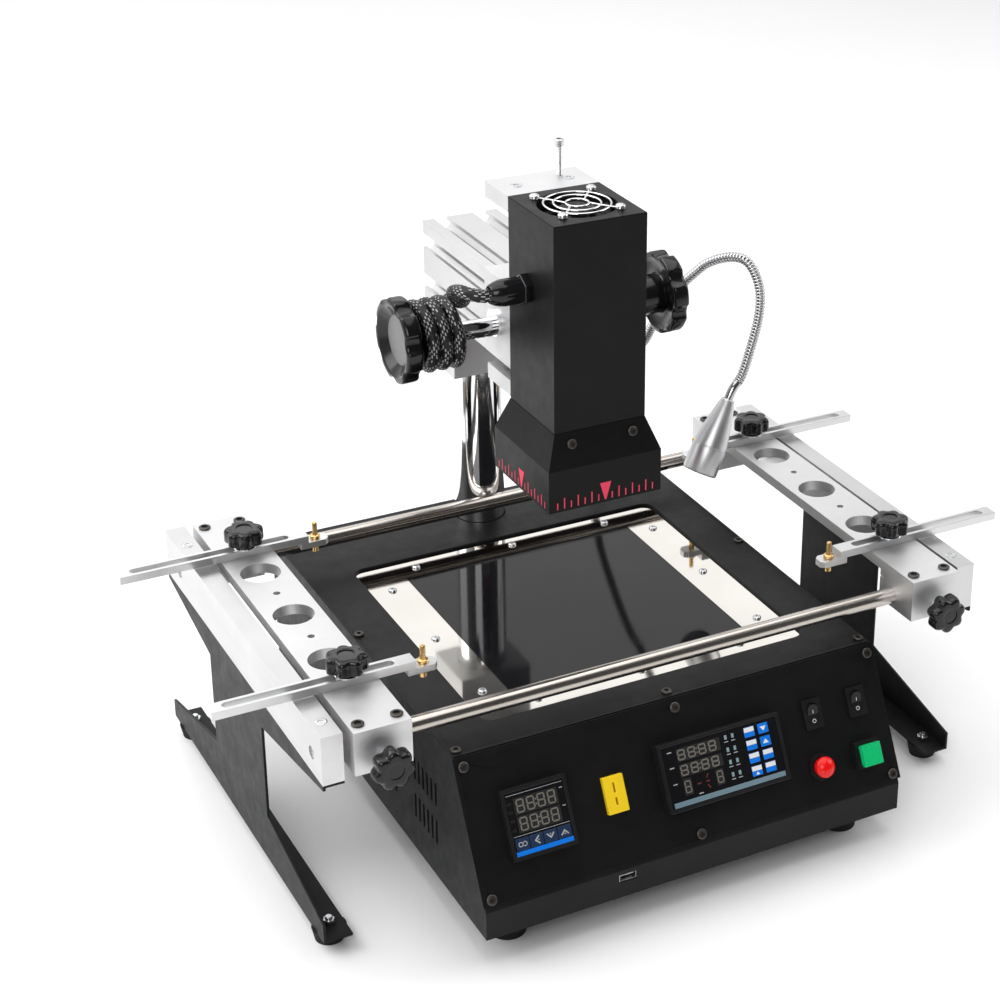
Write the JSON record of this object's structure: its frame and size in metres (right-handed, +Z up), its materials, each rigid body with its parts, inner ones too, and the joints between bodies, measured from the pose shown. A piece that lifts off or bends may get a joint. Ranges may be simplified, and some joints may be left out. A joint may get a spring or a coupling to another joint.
{
  "type": "bga rework station",
  "caption": "Bench rework station: sloped-panel cabinet with heated glass bed, column with rack-and-pinion heater head, swan neck lamp and sliding board holder.",
  "frame": {"origin": "middle of the overall box on the floor, under the heater glass", "axes": "+X to the operator's right, +Y to the back, +Z up"},
  "size_m": [0.619, 0.402, 0.48],
  "materials": {
    "black_paint": "satin",
    "panel_print": "satin",
    "feet_rubber": "matt",
    "plated_screw": "plated",
    "mirror_strip": "polished",
    "black_glass": "polished",
    "pan_steel": "bare",
    "ceramic": "fired ceramic",
    "black_plastic": "fine grain",
    "yellow_plastic": "moulded",
    "socket_shell": "plated",
    "red_plastic": "moulded",
    "green_plastic": "moulded",
    "chrome_bar": "polished",
    "bare_aluminium": "milled",
    "bare_steel": "ground",
    "sleeve": "braided sleeve"
  },
  "bodies": {
    "station": {"base_tray": "black_paint", "top_plate": "black_paint", "control_panel": "panel_print", "rubber_feet": "feet_rubber", "cabinet_screws": "plated_screw", "reflector_strips": "mirror_strip", "glass_plate": "black_glass", "heater_pan": "pan_steel", "lower_heater": "ceramic", "lower_controller": "black_plastic", "upper_controller": "black_plastic", "thermocouple_socket": "yellow_plastic", "usb_socket": "socket_shell", "switch_collars": "black_plastic", "power_inlet": "black_plastic", "column": "chrome_bar", "clamp_block": "bare_aluminium", "arm_extrusion": "bare_aluminium", "lift_block": "bare_aluminium", "shaft_bushes": "chrome_bar", "cable_coil": "sleeve", "lamp_base": "chrome_bar", "stand_left": "black_paint", "stand_right": "black_paint", "bar_left": "bare_aluminium", "bar_right": "bare_aluminium", "guide_rods": "chrome_bar"},
    "light_switch": {"light_rocker": "black_plastic"},
    "fan_switch": {"fan_rocker": "black_plastic"},
    "stop_push": {"stop_button": "red_plastic"},
    "start_push": {"start_button": "green_plastic"},
    "handwheels": {"pinion_shaft": "chrome_bar", "handwheel_left": "black_plastic", "handwheel_right": "black_plastic"},
    "lift_head": {"head_shell": "black_paint", "head_skirt": "black_paint", "upper_heater": "ceramic", "fan_frame": "black_plastic", "fan_guard": "plated_screw", "lift_plates": "bare_aluminium", "lift_rods": "chrome_bar", "lift_rack": "bare_steel", "stop_screw": "plated_screw", "cable_gland": "black_plastic", "cable_lead": "sleeve"},
    "fan": {"fan_rotor": "black_plastic"},
    "lamp": {"lamp_neck": "chrome_bar", "lamp_head": "bare_aluminium"},
    "carriage_left_body": {"carriage_left": "bare_aluminium"},
    "lock_left": {"lock_knob_left": "black_plastic"},
    "clamp_left_front": {"clamp_knob_left_front": "black_plastic"},
    "hold_left_front": {"arm_left_front": "bare_aluminium"},
    "clamp_left_back": {"clamp_knob_left_back": "black_plastic"},
    "hold_left_back": {"arm_left_back": "bare_aluminium"},
    "carriage_right_body": {"carriage_right": "bare_aluminium"},
    "lock_right": {"lock_knob_right": "black_plastic"},
    "clamp_right_front": {"clamp_knob_right_front": "black_plastic"},
    "hold_right_front": {"arm_right_front": "bare_aluminium"},
    "clamp_right_back": {"clamp_knob_right_back": "black_plastic"},
    "hold_right_back": {"arm_right_back": "bare_aluminium"}
  },
  "joints": [
    {"name": "light_rock", "type": "hinge", "parent": "station", "child": "light_switch", "pos_m": [0.105, -0.16897, 0.10303], "axis": [1, 0, 0], "range_deg": [-16, 0]},
    {"name": "fan_rock", "type": "hinge", "parent": "station", "child": "fan_switch", "pos_m": [0.1421, -0.16897, 0.10303], "axis": [1, 0, 0], "range_deg": [-16, 0]},
    {"name": "stop_press", "type": "slide", "parent": "station", "child": "stop_push", "axis": [0, 0.8853, -0.4649], "range_m": [0, 0.0025], "stiffness_N_per_m": 300},
    {"name": "start_press", "type": "slide", "parent": "station", "child": "start_push", "axis": [0, 0.8853, -0.4649], "range_m": [0, 0.0025], "stiffness_N_per_m": 300},
    {"name": "head_lift", "type": "slide", "parent": "station", "child": "lift_head", "axis": [0, 0, 1], "range_m": [-0.046, 0.004], "deforming": ["cable_lead"]},
    {"name": "handwheel_turn", "type": "hinge", "parent": "station", "child": "handwheels", "pos_m": [0, 0.062, 0.34616], "axis": [1, 0, 0], "range_deg": [-23.2, 263.9]},
    {"name": "fan_spin", "type": "hinge", "parent": "lift_head", "child": "fan", "pos_m": [0, -0.00625, 0.444], "axis": [0, 0, 1], "continuous": true},
    {"name": "lamp_swing", "type": "hinge", "parent": "station", "child": "lamp", "pos_m": [0.11, 0.181, 0.1375], "axis": [0, 0, 1], "range_deg": [-3, 20]},
    {"name": "carriage_left_slide", "type": "slide", "parent": "station", "child": "carriage_left_body", "axis": [1, 0, 0], "range_m": [-0.004, 0.095]},
    {"name": "lock_left_turn", "type": "hinge", "parent": "carriage_left_body", "child": "lock_left", "pos_m": [-0.2155, -0.1585, 0.1588], "axis": [0, 1, 0], "range_deg": [-180, 180]},
    {"name": "swing_left_front", "type": "hinge", "parent": "carriage_left_body", "child": "clamp_left_front", "pos_m": [-0.2155, -0.097, 0.18132], "axis": [0, 0, 1], "range_deg": [-15, 15]},
    {"name": "reach_left_front", "type": "slide", "parent": "clamp_left_front", "child": "hold_left_front", "axis": [1, 0, 0], "range_m": [-0.017, 0.03]},
    {"name": "swing_left_back", "type": "hinge", "parent": "carriage_left_body", "child": "clamp_left_back", "pos_m": [-0.2155, 0.105, 0.18132], "axis": [0, 0, 1], "range_deg": [-15, 15]},
    {"name": "reach_left_back", "type": "slide", "parent": "clamp_left_back", "child": "hold_left_back", "axis": [1, 0, 0], "range_m": [-0.017, 0.03]},
    {"name": "carriage_right_slide", "type": "slide", "parent": "station", "child": "carriage_right_body", "axis": [-1, 0, 0], "range_m": [-0.004, 0.095]},
    {"name": "lock_right_turn", "type": "hinge", "parent": "carriage_right_body", "child": "lock_right", "pos_m": [0.2155, -0.1585, 0.1588], "axis": [0, 1, 0], "range_deg": [-180, 180]},
    {"name": "swing_right_front", "type": "hinge", "parent": "carriage_right_body", "child": "clamp_right_front", "pos_m": [0.2155, -0.097, 0.18132], "axis": [0, 0, 1], "range_deg": [-15, 15]},
    {"name": "reach_right_front", "type": "slide", "parent": "clamp_right_front", "child": "hold_right_front", "axis": [-1, 0, 0], "range_m": [-0.017, 0.03]},
    {"name": "swing_right_back", "type": "hinge", "parent": "carriage_right_body", "child": "clamp_right_back", "pos_m": [0.2155, 0.105, 0.18132], "axis": [0, 0, 1], "range_deg": [-15, 15]},
    {"name": "reach_right_back", "type": "slide", "parent": "clamp_right_back", "child": "hold_right_back", "axis": [-1, 0, 0], "range_m": [-0.017, 0.03]}
  ],
  "couplings": [
    {"joint": "handwheel_turn", "follows": "head_lift", "rad_per_m": -100}
  ]
}
